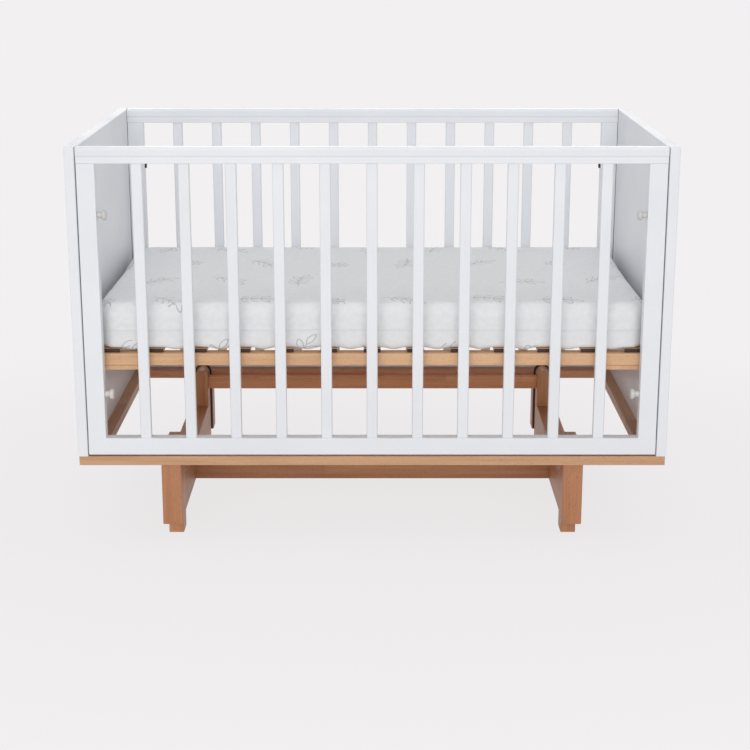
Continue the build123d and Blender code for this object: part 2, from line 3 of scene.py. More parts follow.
import bmesh
import bpy
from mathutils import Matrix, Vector


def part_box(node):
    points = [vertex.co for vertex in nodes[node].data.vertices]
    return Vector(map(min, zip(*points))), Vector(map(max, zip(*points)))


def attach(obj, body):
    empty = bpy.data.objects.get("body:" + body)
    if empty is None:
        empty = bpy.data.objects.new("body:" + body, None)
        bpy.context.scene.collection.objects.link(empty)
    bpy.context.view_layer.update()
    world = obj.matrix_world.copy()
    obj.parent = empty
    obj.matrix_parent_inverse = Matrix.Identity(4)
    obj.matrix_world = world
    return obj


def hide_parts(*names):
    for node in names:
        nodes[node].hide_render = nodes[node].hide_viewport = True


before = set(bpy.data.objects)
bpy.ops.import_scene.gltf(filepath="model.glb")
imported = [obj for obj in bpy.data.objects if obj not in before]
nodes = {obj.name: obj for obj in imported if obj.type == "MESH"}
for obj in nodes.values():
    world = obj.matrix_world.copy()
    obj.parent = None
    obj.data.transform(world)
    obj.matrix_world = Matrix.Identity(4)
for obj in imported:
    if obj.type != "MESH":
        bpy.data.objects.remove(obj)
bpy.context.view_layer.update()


# The stand that stays on the floor: four uprights with round tops, two deep stretchers, the crossbar between
# them, its two end blocks and two thin upper bars. All are of beech glued up from staves, planed, with the
# edges eased, and finished in a thin matt lacquer. They are screwed and bolted together.


def place(tree, kind, inputs=None, **settings):
    """One shader node with its settings, and its inputs set or linked by name or number."""
    node = tree.nodes.new(kind)
    for name, value in settings.items():
        setattr(node, name, value)
    for name, value in (inputs or {}).items():
        if isinstance(value, bpy.types.NodeSocket):
            tree.links.new(value, node.inputs[name])
        else:
            node.inputs[name].default_value = value
    return node


def maths(tree, operation, *values, clamp=False):
    """A Math node's result, from numbers or sockets."""
    node = place(tree, "ShaderNodeMath", dict(enumerate(values)), operation=operation)
    node.use_clamp = clamp
    return node.outputs[0]


def blended(tree, factor, first, second):
    """A colour between two others. The colour sockets of a Mix node are its inputs 6 and 7 and its output 2."""
    return place(tree, "ShaderNodeMix", {0: factor, 6: first, 7: second}, data_type="RGBA").outputs[2]


def ramped(tree, value, low, high, to_low=0.0, to_high=1.0):
    """A value taken from one range to another, and held at its ends."""
    sockets = dict(enumerate((value, low, high, to_low, to_high)))
    return place(tree, "ShaderNodeMapRange", sockets).outputs[0]


def effect(name, inputs, outputs):
    """An empty shader group with its sockets: the tree, its inputs and its outputs."""
    tree = bpy.data.node_groups.new(name, "ShaderNodeTree")
    for label, kind, value in inputs:
        socket = tree.interface.new_socket(label, in_out="INPUT", socket_type=kind)
        if value is not None:
            socket.default_value = value
    for label, kind in outputs:
        tree.interface.new_socket(label, in_out="OUTPUT", socket_type=kind)
    return tree, tree.nodes.new("NodeGroupInput").outputs, tree.nodes.new("NodeGroupOutput").inputs


def screen(red, green, blue):
    """A colour given as it looks on a screen, 0 to 255, as a linear colour."""
    parts = [value / 255 for value in (red, green, blue)]
    return tuple(p / 12.92 if p <= 0.04045 else ((p + 0.055) / 1.055) ** 2.4 for p in parts) + (1.0,)


COLOUR, VALUE, VECTOR = "NodeSocketColor", "NodeSocketFloat", "NodeSocketVector"


def stave_wood():
    """Hardwood glued up from staves. X is along the grain. Each stave has its own tone, and the grain breaks
    at its ends. Along it run broad figure, fine fibres, and the short dark flecks of beech."""
    tree, given, out = effect(
        "stave_wood",
        (
            ("Vector", VECTOR, None),
            ("Pale", COLOUR, None),
            ("Deep", COLOUR, None),
            ("Fleck", COLOUR, None),
            ("Stave Length", VALUE, 0.7),
            ("Stave Width", VALUE, 0.045),
            ("Joint Shift", VALUE, 0.0),
            ("Tone Spread", VALUE, 0.5),
            ("Seed", VALUE, 0.0),
        ),
        (("Color", COLOUR), ("Roughness", VALUE), ("Height", VALUE)),
    )
    apart = place(tree, "ShaderNodeSeparateXYZ", {0: given["Vector"]}).outputs
    across = maths(tree, "ADD", apart[1], apart[2])
    row = maths(tree, "FLOOR", maths(tree, "DIVIDE", across, given["Stave Width"]))
    shifted = maths(tree, "ADD", apart[0], given["Joint Shift"])
    staggered = maths(tree, "MULTIPLY_ADD", maths(tree, "MULTIPLY", row, given["Stave Length"]), 0.37, shifted)
    stave = maths(tree, "FLOOR", maths(tree, "DIVIDE", staggered, given["Stave Length"]))
    which = place(tree, "ShaderNodeCombineXYZ", {0: stave, 1: row, 2: given["Seed"]})
    chance = place(tree, "ShaderNodeTexWhiteNoise", {"Vector": which.outputs[0]}, noise_dimensions="3D")
    moved = place(
        tree,
        "ShaderNodeVectorMath",
        {0: chance.outputs["Color"], 1: (7.0, 7.0, 7.0), 2: given["Vector"]},
        operation="MULTIPLY_ADD",
    ).outputs[0]

    def streaks(along, sideways, detail, roughness):
        scaled = place(tree, "ShaderNodeVectorMath", {0: moved, 1: (along, sideways, sideways)}, operation="MULTIPLY")
        noise = {"Vector": scaled.outputs[0], "Scale": 1.0, "Detail": detail, "Roughness": roughness}
        return place(tree, "ShaderNodeTexNoise", noise).outputs["Fac"]

    figure = streaks(2.2, 38.0, 4.0, 0.6)
    rings = maths(tree, "PINGPONG", maths(tree, "MULTIPLY", streaks(0.9, 14.0, 1.0, 0.5), 9.0), 0.5)
    fibres = streaks(9.0, 420.0, 3.0, 0.65)
    fleck = ramped(tree, streaks(150.0, 950.0, 1.0, 0.5), 0.64, 0.72)
    tone = maths(tree, "MULTIPLY", maths(tree, "SUBTRACT", chance.outputs["Value"], 0.5), given["Tone Spread"])
    depth = maths(tree, "MULTIPLY_ADD", ramped(tree, figure, 0.3, 0.7), 0.42, tone)
    depth = maths(tree, "MULTIPLY_ADD", rings, 0.26, depth)
    depth = maths(tree, "MULTIPLY_ADD", ramped(tree, fibres, 0.35, 0.7), 0.3, depth, clamp=True)
    wood = blended(tree, depth, given["Pale"], given["Deep"])
    tree.links.new(blended(tree, maths(tree, "MULTIPLY", fleck, 0.55), wood, given["Fleck"]), out["Color"])
    tree.links.new(ramped(tree, fibres, 0.3, 0.75, 0.42, 0.56), out["Roughness"])
    raised = maths(tree, "MULTIPLY_ADD", fleck, -0.35, fibres)
    tree.links.new(maths(tree, "MULTIPLY_ADD", figure, 0.4, raised), out["Height"])
    return tree


stave_group = stave_wood()
grain_turns = {"x": (0.0, 0.0, 0.0), "y": (0.0, 0.0, -math.pi / 2), "z": (0.0, math.pi / 2, 0.0)}


def wood_finish(name, along, tones, length, width, shift=0.0, spread=0.5, seed=0.0):
    """Lacquered wood with its grain along one axis of the room. Its tones are pale wood, deep wood and fleck.
    Length and width are those of a stave, and shift moves the joints between staves along the grain."""
    material = bpy.data.materials.new(name)
    material.use_nodes = True
    tree = material.node_tree
    shader = tree.nodes["Principled BSDF"]
    where = place(tree, "ShaderNodeTexCoord").outputs["Object"]
    turned = place(tree, "ShaderNodeMapping", {"Vector": where, "Rotation": grain_turns[along]}).outputs[0]
    pale, deep, fleck = tones
    wood = place(tree, "ShaderNodeGroup", node_tree=stave_group)
    for label, value in (
        ("Pale", pale),
        ("Deep", deep),
        ("Fleck", fleck),
        ("Stave Length", length),
        ("Stave Width", width),
        ("Joint Shift", shift),
        ("Tone Spread", spread),
        ("Seed", seed),
    ):
        wood.inputs[label].default_value = value
    tree.links.new(turned, wood.inputs["Vector"])
    bump = place(tree, "ShaderNodeBump", {"Strength": 0.35, "Distance": 0.0004, "Height": wood.outputs["Height"]})
    tree.links.new(wood.outputs["Color"], shader.inputs["Base Color"])
    tree.links.new(wood.outputs["Roughness"], shader.inputs["Roughness"])
    tree.links.new(bump.outputs[0], shader.inputs["Normal"])
    shader.inputs["Coat Weight"].default_value = 0.12
    shader.inputs["Coat Roughness"].default_value = 0.3
    return material


def dress(material, *names):
    """Gives the pieces named their finish, in every material slot they have."""
    for name in names:
        node = nodes[name]
        if not node.data.materials:
            node.data.materials.append(material)
        for index in range(len(node.data.materials)):
            node.data.materials[index] = material


# Painted light and shade in the beech: the crossbar and its end blocks get darker tones, as painted shade, and the thin
# upper bars paler ones, as painted light, for how the light falls on them under the base.
ends = ("left", "right")
sides = ("front", "back")
stand_tones = (screen(202, 148, 104), screen(160, 98, 58), screen(112, 62, 36))
crossbar_shaded_tones = (screen(192, 138, 96), screen(150, 90, 52), screen(104, 56, 32))
thin_bar_lit_tones = (screen(228, 166, 120), screen(190, 120, 76), screen(136, 76, 46))
upright_wood = wood_finish("upright_beech", "z", stand_tones, length=0.62, width=0.05, spread=0.35, seed=2.0)
stretcher_wood = wood_finish("stretcher_beech", "y", stand_tones, length=0.55, width=0.042, spread=0.4, seed=5.0)
bar_wood = wood_finish("bar_beech", "x", crossbar_shaded_tones, length=0.58, width=0.03, shift=0.11, seed=3.0)
thin_bar_lit_wood = wood_finish("thin_bar_beech", "x", thin_bar_lit_tones, length=0.47, width=0.03, shift=0.2, seed=7.0)
dress(upright_wood, *(f"upright_{side}_{end}" for side in sides for end in ends))
dress(stretcher_wood, *(f"stretcher_{end}" for end in ends))
dress(bar_wood, "crossbar", "end_blocks")
dress(thin_bar_lit_wood, *(f"upper_bar_{side}" for side in sides))


# The metal that holds the stand and swings the crib: zinc-plated screws, bolts and pivots, nearly all inside
# the wood, four flat steel links powder coated in a very dark brown, and nylon bushes pressed into their eyes.


def grainy_surface():
    """The fine unevenness of a sprayed, moulded or plated surface: two near colours, two degrees of gloss and
    a very low relief, all from one pattern of the size given."""
    tree, given, out = effect(
        "grainy_surface",
        (
            ("Vector", VECTOR, None),
            ("Body", COLOUR, None),
            ("Shade", COLOUR, None),
            ("Grains Per Metre", VALUE, 600.0),
            ("Smooth", VALUE, 0.35),
            ("Rough", VALUE, 0.5),
        ),
        (("Color", COLOUR), ("Roughness", VALUE), ("Height", VALUE)),
    )
    broad = place(tree, "ShaderNodeTexNoise", {"Vector": given["Vector"], "Scale": 5.0, "Detail": 3.0})
    fine = place(
        tree,
        "ShaderNodeTexNoise",
        {"Vector": given["Vector"], "Scale": given["Grains Per Metre"], "Detail": 2.0, "Roughness": 0.6},
    )
    cloudy = ramped(tree, broad.outputs["Fac"], 0.35, 0.65)
    speckled = ramped(tree, fine.outputs["Fac"], 0.35, 0.65)
    both = maths(tree, "MULTIPLY_ADD", speckled, 0.35, maths(tree, "MULTIPLY", cloudy, 0.65))
    tree.links.new(blended(tree, both, given["Body"], given["Shade"]), out["Color"])
    span = maths(tree, "SUBTRACT", given["Rough"], given["Smooth"])
    tree.links.new(maths(tree, "MULTIPLY_ADD", both, span, given["Smooth"]), out["Roughness"])
    tree.links.new(fine.outputs["Fac"], out["Height"])
    return tree


grainy_group = grainy_surface()


def even_finish(name, body, shade, grains, gloss, relief, metallic=0.0, **constants):
    """A paint, a plastic or a plated metal with its own fine surface. Gloss is its least and greatest roughness,
    and the constants go to the shader's inputs of the same names."""
    material = bpy.data.materials.new(name)
    material.use_nodes = True
    tree = material.node_tree
    shader = tree.nodes["Principled BSDF"]
    where = place(tree, "ShaderNodeTexCoord").outputs["Object"]
    smooth, rough = gloss
    skin = place(tree, "ShaderNodeGroup", node_tree=grainy_group)
    for label, value in (
        ("Body", body),
        ("Shade", shade),
        ("Grains Per Metre", grains),
        ("Smooth", smooth),
        ("Rough", rough),
    ):
        skin.inputs[label].default_value = value
    tree.links.new(where, skin.inputs["Vector"])
    bump = place(tree, "ShaderNodeBump", {"Strength": relief, "Distance": 0.0003, "Height": skin.outputs["Height"]})
    tree.links.new(skin.outputs["Color"], shader.inputs["Base Color"])
    tree.links.new(skin.outputs["Roughness"], shader.inputs["Roughness"])
    tree.links.new(bump.outputs[0], shader.inputs["Normal"])
    shader.inputs["Metallic"].default_value = metallic
    for label, value in constants.items():
        shader.inputs[label.replace("_", " ").title()].default_value = value
    return material


plated_steel = even_finish("plated_steel", screen(196, 197, 196), screen(172, 172, 170), 900.0, (0.28, 0.42), 0.08, 1.0)
link_coat = even_finish("link_powder_coat", screen(58, 42, 34), screen(46, 33, 27), 1400.0, (0.45, 0.6), 0.3)
bush_nylon = even_finish("bush_nylon", screen(226, 224, 214), screen(214, 212, 202), 500.0, (0.4, 0.5), 0.05)
dress(plated_steel, "stand_screws", "crossbar_bolts", "upper_pivot_bolts", "lower_pivot_bolts")
dress(link_coat, *(f"link_{side}_{end}" for side in sides for end in ends))
dress(bush_nylon, *(f"link_bushes_{side}_{end}" for side in sides for end in ends))


# The lower frame and its legs, in the same beech: four flat boards laid as a frame under the crib, each of a
# few long staves that differ in tone, and four short legs that hang from it on pairs of hidden screws.

board_tones = (screen(209, 164, 127), screen(169, 118, 81), screen(128, 78, 48))
# The back lower board gets paler tones than the front one: painted light, for the shade it lies in under the base.
back_board_lit_tones = (screen(226, 168, 128), screen(188, 124, 84), screen(140, 82, 52))
leg_tones = (screen(192, 134, 94), screen(150, 91, 54), screen(106, 58, 34))
front_board_wood = wood_finish(
    "long_board_beech", "x", board_tones, length=0.724, width=0.09, shift=0.307, spread=0.6, seed=4.0
)
back_board_lit_wood = wood_finish(
    "back_board_beech", "x", back_board_lit_tones, length=0.724, width=0.09, shift=0.12, seed=11.0
)
end_board_wood = wood_finish("end_board_beech", "y", board_tones, length=0.61, width=0.09, spread=0.4, seed=1.0)
leg_wood = wood_finish("leg_beech", "z", leg_tones, length=0.9, width=0.034, shift=0.3, spread=0.55, seed=6.0)
dress(front_board_wood, "lower_board_front")
dress(back_board_lit_wood, "lower_board_back")
dress(end_board_wood, *(f"lower_board_{end}" for end in ends))
dress(leg_wood, *(f"leg_{side}_{end}" for side in sides for end in ends))
dress(plated_steel, "leg_screws", "panel_screws")


# The two end panels and the two slatted rails: board and beech under a sprayed white satin paint. The slats
# and stiles are glued into the rails, and the rails are bolted to the panels at their four corners.

white_paint = even_finish(
    "white_satin_paint", screen(238, 240, 243), screen(232, 234, 238), 750.0, (0.36, 0.48), 0.06, Coat_Weight=0.05
)


def shaded_seam():
    """The shade in a narrow seam, as a mask. The seam lies at the given distance from 0, on both sides of it,
    and the shade is gone at its reach to either side of the seam."""
    tree, given, out = effect(
        "shaded_seam",
        (("Place", VALUE, 0.0), ("Seam", VALUE, 0.6), ("Reach", VALUE, 0.002)),
        (("Mask", VALUE),),
    )
    away = maths(tree, "ABSOLUTE", maths(tree, "SUBTRACT", maths(tree, "ABSOLUTE", given["Place"]), given["Seam"]))
    tree.links.new(ramped(tree, maths(tree, "DIVIDE", away, given["Reach"]), 0.35, 1.0, 1.0, 0.0), out["Mask"])
    return tree


seam_group = shaded_seam()
inner_face_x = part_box("end_panel_right")[0][0]
rail_inside_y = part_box("back_stile_left")[0][1]
cap_low_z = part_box("front_cap_strip")[0][2]
cap_end_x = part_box("front_cap_strip")[1][0]
tree = white_paint.node_tree
shader = tree.nodes["Principled BSDF"]
spot = place(tree, "ShaderNodeTexCoord").outputs["Object"]
spot_x, spot_y, spot_z = place(tree, "ShaderNodeSeparateXYZ", {0: spot}).outputs
plain_paint = shader.inputs["Base Color"].links[0].from_socket

# The upright seam between each rail and the panel, darkened as painted shade: on the panel's edges, and not on its
# inner face.
end_seam = place(tree, "ShaderNodeGroup", node_tree=seam_group)
end_seam.inputs["Seam"].default_value = inner_face_x
end_seam.inputs["Reach"].default_value = 0.0022
tree.links.new(spot_x, end_seam.inputs["Place"])
beside_rail = maths(tree, "GREATER_THAN", maths(tree, "ABSOLUTE", spot_y), rail_inside_y + 0.001)
end_shade = maths(tree, "MULTIPLY", maths(tree, "MULTIPLY", end_seam.outputs["Mask"], beside_rail), 0.75)
end_shaded = blended(tree, end_shade, plain_paint, screen(128, 130, 136))

# The level seam on each top rail, under the lower edge of its cap strip, darkened as painted shade.
cap_seam = place(tree, "ShaderNodeGroup", node_tree=seam_group)
cap_seam.inputs["Seam"].default_value = cap_low_z
cap_seam.inputs["Reach"].default_value = 0.0025
tree.links.new(spot_z, cap_seam.inputs["Place"])
on_rail = maths(tree, "LESS_THAN", maths(tree, "ABSOLUTE", spot_x), cap_end_x)
cap_shade = maths(tree, "MULTIPLY", maths(tree, "MULTIPLY", cap_seam.outputs["Mask"], on_rail), 0.5)
both_shaded = blended(tree, cap_shade, end_shaded, screen(190, 192, 198))
tree.links.new(both_shaded, shader.inputs["Base Color"])
dress(white_paint, *(f"end_panel_{end}" for end in ends))
for side in sides:
    dress(white_paint, f"{side}_top_rail", f"{side}_bottom_rail", f"{side}_slats")
    dress(white_paint, *(f"{side}_stile_{end}" for end in ends))

insert_brass = even_finish("insert_brass", screen(202, 170, 104), screen(178, 146, 84), 800.0, (0.3, 0.45), 0.08, 1.0)
blackened_steel = even_finish(
    "blackened_steel", screen(62, 60, 60), screen(48, 46, 46), 900.0, (0.35, 0.5), 0.12, metallic=0.7
)
dress(insert_brass, "rail_inserts")
dress(blackened_steel, "back_rail_bolts")


# The cap strips, one over each top rail: soft white plastic channels, extruded, with rounded top edges, that
# clip over the wood so that a child can chew on them.

cap_plastic = even_finish(
    "cap_plastic", screen(236, 238, 241), screen(229, 231, 235), 260.0, (0.3, 0.4), 0.05, Coat_Weight=0.1
)
dress(cap_plastic, *(f"{side}_cap_strip" for side in sides))


# The four hand knobs on the inner edges of the front stiles, which clamp the front rail to the panels: moulded
# white plastic, each in one piece with its stud.

knob_plastic = even_finish(
    "knob_plastic", screen(212, 210, 207), screen(198, 196, 193), 300.0, (0.22, 0.32), 0.05, Coat_Weight=0.15
)
dress(knob_plastic, *(f"knob_{level}_{end}" for level in ("upper", "lower") for end in ends))


# The mattress base: two long beams of pale solid wood, two end bars and four gussets that carry them, and
# thirteen thin slats on top, all under the same thin lacquer. Six bolts hold it to the panels.

base_tones = (screen(228, 187, 146), screen(198, 149, 106), screen(158, 110, 74))
beam_wood = wood_finish("beam_wood", "x", base_tones, length=0.95, width=0.06, shift=0.2, spread=0.3, seed=8.0)
cross_wood = wood_finish("cross_wood", "y", base_tones, length=1.4, width=0.046, shift=0.7, spread=0.45, seed=9.0)
dress(beam_wood, *(f"base_beam_{side}" for side in sides))
dress(cross_wood, "base_gussets", *(f"base_end_bar_{end}" for end in ends))
dress(plated_steel, "base_bolts")

# The slats' sawn ends are open end grain, which takes the lacquer darker, and painted shade makes them nearly black,
# for the shade they lie in under the mattress's edge.
slat_wood = wood_finish("slat_wood", "y", base_tones, length=1.4, width=0.046, shift=0.7, spread=0.45, seed=9.0)
tree = slat_wood.node_tree
shader = tree.nodes["Principled BSDF"]
slat_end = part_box("base_slats")[1][1]
spot = place(tree, "ShaderNodeTexCoord").outputs["Object"]
from_middle = maths(tree, "ABSOLUTE", place(tree, "ShaderNodeSeparateXYZ", {0: spot}).outputs[1])
sawn_end_grain_and_shade = ramped(tree, from_middle, slat_end - 0.0016, slat_end - 0.0004)
long_grain = shader.inputs["Base Color"].links[0].from_socket
tree.links.new(blended(tree, sawn_end_grain_and_shade, long_grain, screen(48, 28, 16)), shader.inputs["Base Color"])
dress(slat_wood, "base_slats")


# The mattress: a foam slab in a fitted cover of white cotton, printed with thin grey-green lines, closed by a
# seam that runs round its side. The cover is a little fuller than the foam, so it swells and draws in softly.

pad_low, pad_high = (Vector(corner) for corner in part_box("mattress"))
pad_middle = (pad_low + pad_high) / 2
pad_corner = 0.045  # radius of the four upright corners
pad_edge = 0.022  # radius of the edges round the top and the bottom
pad_shrink = 0.003  # left free on every side but the bottom, for the swelling
pad_voxel = 0.009
pad_frames = 20
pad_swell_limit = 0.005
pad_rise_limit = 0.006

pad_mesh = nodes["mattress"].data.copy()
shaping = bmesh.new()
shaping.from_mesh(pad_mesh)
bmesh.ops.remove_doubles(shaping, verts=shaping.verts, dist=1e-5)
for vertex in shaping.verts:
    for axis in range(3):
        half = (pad_high[axis] - pad_low[axis]) / 2
        offset = vertex.co[axis] - pad_middle[axis]
        if axis < 2 or offset > 0:
            vertex.co[axis] = pad_middle[axis] + offset * (half - pad_shrink) / half

# Resting on the slats, the foam's lower edge is squarer than its upper one: it gets back part of what the
# rounding takes off it.
squared_share = 0.6
pad_core = [(pad_high[axis] - pad_low[axis]) / 2 - pad_corner for axis in (0, 1)]
for vertex in shaping.verts:
    height = vertex.co.z - pad_low.z
    if height < pad_edge:
        short = pad_edge - math.sqrt(max(0.0, pad_edge**2 - (pad_edge - height) ** 2))
        core = Vector([max(-pad_core[axis], min(pad_core[axis], vertex.co[axis])) for axis in (0, 1)])
        outward = Vector(vertex.co[:2]) - core
        if outward.length > 0.0:
            outward *= squared_share * short / outward.length
            vertex.co.x += outward.x
            vertex.co.y += outward.y
bmesh.ops.recalc_face_normals(shaping, faces=shaping.faces)
shaping.to_mesh(pad_mesh)
shaping.free()
pad_mesh.materials.clear()
pad = bpy.data.objects.new("mattress_pad", pad_mesh)
bpy.context.scene.collection.objects.link(pad)


def settled(obj):
    """The object with its modifiers made part of its mesh."""
    result = bpy.data.meshes.new_from_object(obj.evaluated_get(bpy.context.evaluated_depsgraph_get()))
    obj.modifiers.clear()
    obj.data = result
    return obj


even = pad.modifiers.new("even_mesh", "REMESH")
even.mode = "VOXEL"
even.voxel_size = pad_voxel
settled(pad)

# The cover's air and fullness, as a short cloth simulation. It moves each point by no more than the limits, and
# it lifts nothing off the slats.
before = [vertex.co.copy() for vertex in pad.data.vertices]
swell = pad.modifiers.new("swell", "CLOTH")
swell.settings.quality = 5
swell.settings.mass = 0.3
swell.settings.tension_stiffness = 12
swell.settings.compression_stiffness = 12
swell.settings.shear_stiffness = 6
swell.settings.bending_stiffness = 0.3
swell.settings.use_pressure = True
swell.settings.uniform_pressure_force = 4
swell.settings.shrink_min = -0.02
swell.settings.effector_weights.gravity = 0
swell.collision_settings.use_collision = False
for number in range(1, pad_frames + 1):
    bpy.context.scene.frame_set(number)
settled(pad)
bpy.context.scene.frame_set(1)
for vertex, start in zip(pad.data.vertices, before):
    move = vertex.co - start
    level = Vector((move.x, move.y, 0.0))
    if level.length > pad_swell_limit:
        level *= pad_swell_limit / level.length
    rise = max(-pad_swell_limit, min(pad_rise_limit, move.z))
    if rise > 0:
        rise *= min(1.0, max(0.0, (start.z - pad_low.z) / pad_edge))
    vertex.co = start + level + Vector((0.0, 0.0, rise))
    vertex.co.z = max(vertex.co.z, pad_low.z + 0.0002)

# Where the long side faces stand, found for each short strip of the front and the back.
strip = 0.03
face_at = {}
for vertex in pad.data.vertices:
    if pad_edge < vertex.co.z - pad_low.z < 3 * pad_edge:
        here = (round(vertex.co.x / strip), vertex.co.y > 0)
        face_at[here] = max(face_at.get(here, 0.0), abs(vertex.co.y))

# Under the mattress's own weight its long lower edges spread out to the ends of the slats, from a quarter circle
# towards a square, and its underside sags a little between the slats.
squareness = 6
slat_pitch = 0.092
slat_half = 0.02  # half a slat's width, and 2 mm
sag_depth = 0.0055
for vertex in pad.data.vertices:
    height = vertex.co.z - pad_low.z
    if height < pad_edge:
        down = 1 - height / pad_edge
        face = face_at.get((round(vertex.co.x / strip), vertex.co.y > 0), pad_high.y)
        out = 1 - (face - abs(vertex.co.y)) / pad_edge
        if 0 < out < 1:
            square = (out**squareness + down**squareness) ** (1 / squareness)
            growth = math.hypot(out, down) / square - 1
            vertex.co.y += math.copysign(pad_edge * out * growth, vertex.co.y)
            vertex.co.z -= min(height, pad_edge * down * growth)
        off_slat = abs(vertex.co.x - slat_pitch * round(vertex.co.x / slat_pitch)) - slat_half
        hang = min(1.0, max(0.0, off_slat / (slat_pitch / 2 - slat_half)))
        vertex.co.z -= sag_depth * down**0.5 * hang**2 * (3 - 2 * hang)

smooth = pad.modifiers.new("smooth", "SUBSURF")
smooth.levels = smooth.render_levels = 1
settled(pad)
for polygon in pad.data.polygons:
    polygon.use_smooth = True

# The cover's own pattern space, in metres: the top lies flat, the four sides hang from its edges as one cloth
# does, and the underside is apart.
underside_shift = 3.0
cover_map = pad.data.uv_layers.new(name="cover")
for polygon in pad.data.polygons:
    facing = polygon.normal
    for corner in polygon.loop_indices:
        x, y, z = pad.data.vertices[pad.data.loops[corner].vertex_index].co
        drop = pad_high.z - z
        if abs(facing.z) >= max(abs(facing.x), abs(facing.y)):
            place_on_cover = (x, y) if facing.z > 0 else (x + underside_shift, y)
        elif abs(facing.y) > abs(facing.x):
            place_on_cover = (x, math.copysign(pad_high.y + drop, y))
        else:
            place_on_cover = (math.copysign(pad_high.x + drop, x), y)
        cover_map.data[corner].uv = place_on_cover


def printed_sprigs():
    """Line drawings in a loose grid of cells: in most cells a leafy sprig, in some a ring of small loops. Each
    is turned and placed by chance. The result is a mask, 1 on a line."""
    tree, given, out = effect(
        "printed_sprigs",
        (("Vector", VECTOR, None), ("Cell", VALUE, 0.15), ("Line", VALUE, 0.0011), ("Seed", VALUE, 0.0)),
        (("Mask", VALUE),),
    )

    def times(first, second):
        return maths(tree, "MULTIPLY", first, second)

    def less(first, second):
        return maths(tree, "SUBTRACT", first, second)

    apart = place(tree, "ShaderNodeSeparateXYZ", {0: given["Vector"]}).outputs
    row = maths(tree, "FLOOR", maths(tree, "DIVIDE", apart[1], given["Cell"]))
    slid = maths(tree, "MULTIPLY_ADD", times(row, given["Cell"]), 0.5, apart[0])
    column = maths(tree, "FLOOR", maths(tree, "DIVIDE", slid, given["Cell"]))
    cell = place(tree, "ShaderNodeCombineXYZ", {0: column, 1: row, 2: given["Seed"]}).outputs[0]
    chance = place(tree, "ShaderNodeTexWhiteNoise", {"Vector": cell}, noise_dimensions="3D")
    picks = place(tree, "ShaderNodeSeparateColor", {0: chance.outputs["Color"]}).outputs

    def centred(position, index, pick):
        """A position in its cell, from a middle that strays by up to a tenth of the cell."""
        middle = times(maths(tree, "ADD", index, 0.5), given["Cell"])
        stray = times(less(pick, 0.5), times(given["Cell"], 0.2))
        return less(less(position, middle), stray)

    in_cell = {0: centred(slid, column, picks[1]), 1: centred(apart[1], row, picks[2])}
    local = place(tree, "ShaderNodeCombineXYZ", in_cell).outputs[0]
    angle = times(chance.outputs["Value"], 2 * math.pi)
    turned = place(tree, "ShaderNodeVectorRotate", {"Vector": local, "Angle": angle}, rotation_type="Z_AXIS").outputs[0]
    x, y, _ = place(tree, "ShaderNodeSeparateXYZ", {0: turned}).outputs

    def drawn(distance):
        """1 where the distance from a line is less than half its width, soft at its edge."""
        edge = maths(tree, "ABSOLUTE", distance)
        return ramped(tree, maths(tree, "DIVIDE", edge, given["Line"]), 1.0, 1.6, 1.0, 0.0)

    # A sprig: a slightly bent stem along Y, three pairs of leaves that lean out from it, and one at its tip.
    leaf_length, leaf_width = 0.027, 0.0062
    leaf_lean = math.radians(48)
    pair_step, first_pair, stem_gap = 0.021, -0.012, 0.002
    stem_foot, stem_tip, stem_bend = -0.052, 0.026, 4.0

    def leaf(along, sideways):
        """The outline of a pointed leaf that starts at 0, as a distance."""
        bow = (leaf_length**2 / 4 + leaf_width**2) / (2 * leaf_width)
        middle = less(along, leaf_length / 2)
        far = maths(tree, "ADD", maths(tree, "ABSOLUTE", sideways), bow - leaf_width)
        squared = maths(tree, "MULTIPLY_ADD", middle, middle, times(far, far))
        return less(maths(tree, "SQRT", squared), bow)

    bent = less(x, times(times(y, y), stem_bend))
    mirrored = maths(tree, "ABSOLUTE", bent)
    pair = maths(tree, "ROUND", maths(tree, "DIVIDE", maths(tree, "ADD", y, 0.006), pair_step))
    pair = maths(tree, "MINIMUM", maths(tree, "MAXIMUM", pair, -1.0), 1.0)
    rise = less(y, maths(tree, "MULTIPLY_ADD", pair, pair_step, first_pair))
    along_leaf = maths(tree, "MULTIPLY_ADD", mirrored, math.sin(leaf_lean), times(rise, math.cos(leaf_lean)))
    across_leaf = less(times(mirrored, math.cos(leaf_lean)), times(rise, math.sin(leaf_lean)))
    side_leaves = drawn(leaf(less(along_leaf, stem_gap), across_leaf))
    tip_leaf = drawn(leaf(less(y, stem_tip), bent))
    on_stem = times(maths(tree, "GREATER_THAN", y, stem_foot), maths(tree, "LESS_THAN", y, stem_tip))
    stem = times(drawn(bent), on_stem)
    sprig = maths(tree, "MAXIMUM", maths(tree, "MAXIMUM", side_leaves, tip_leaf), stem)

    # A ring: six small loops round a smaller one.
    loops, ring_radius, loop_radius, heart_radius = 6, 0.016, 0.0072, 0.0045
    sector = 2 * math.pi / loops
    bearing = maths(tree, "ARCTAN2", y, x)
    nearest = times(maths(tree, "ROUND", maths(tree, "DIVIDE", bearing, sector)), sector)
    within = less(bearing, nearest)
    reach = maths(tree, "SQRT", maths(tree, "MULTIPLY_ADD", x, x, times(y, y)))
    loop_x = less(times(reach, maths(tree, "COSINE", within)), ring_radius)
    loop_y = times(reach, maths(tree, "SINE", within))
    loop_squared = maths(tree, "MULTIPLY_ADD", loop_x, loop_x, times(loop_y, loop_y))
    loop = drawn(less(maths(tree, "SQRT", loop_squared), loop_radius))
    heart = drawn(less(reach, heart_radius))
    ring = maths(tree, "MAXIMUM", loop, heart)

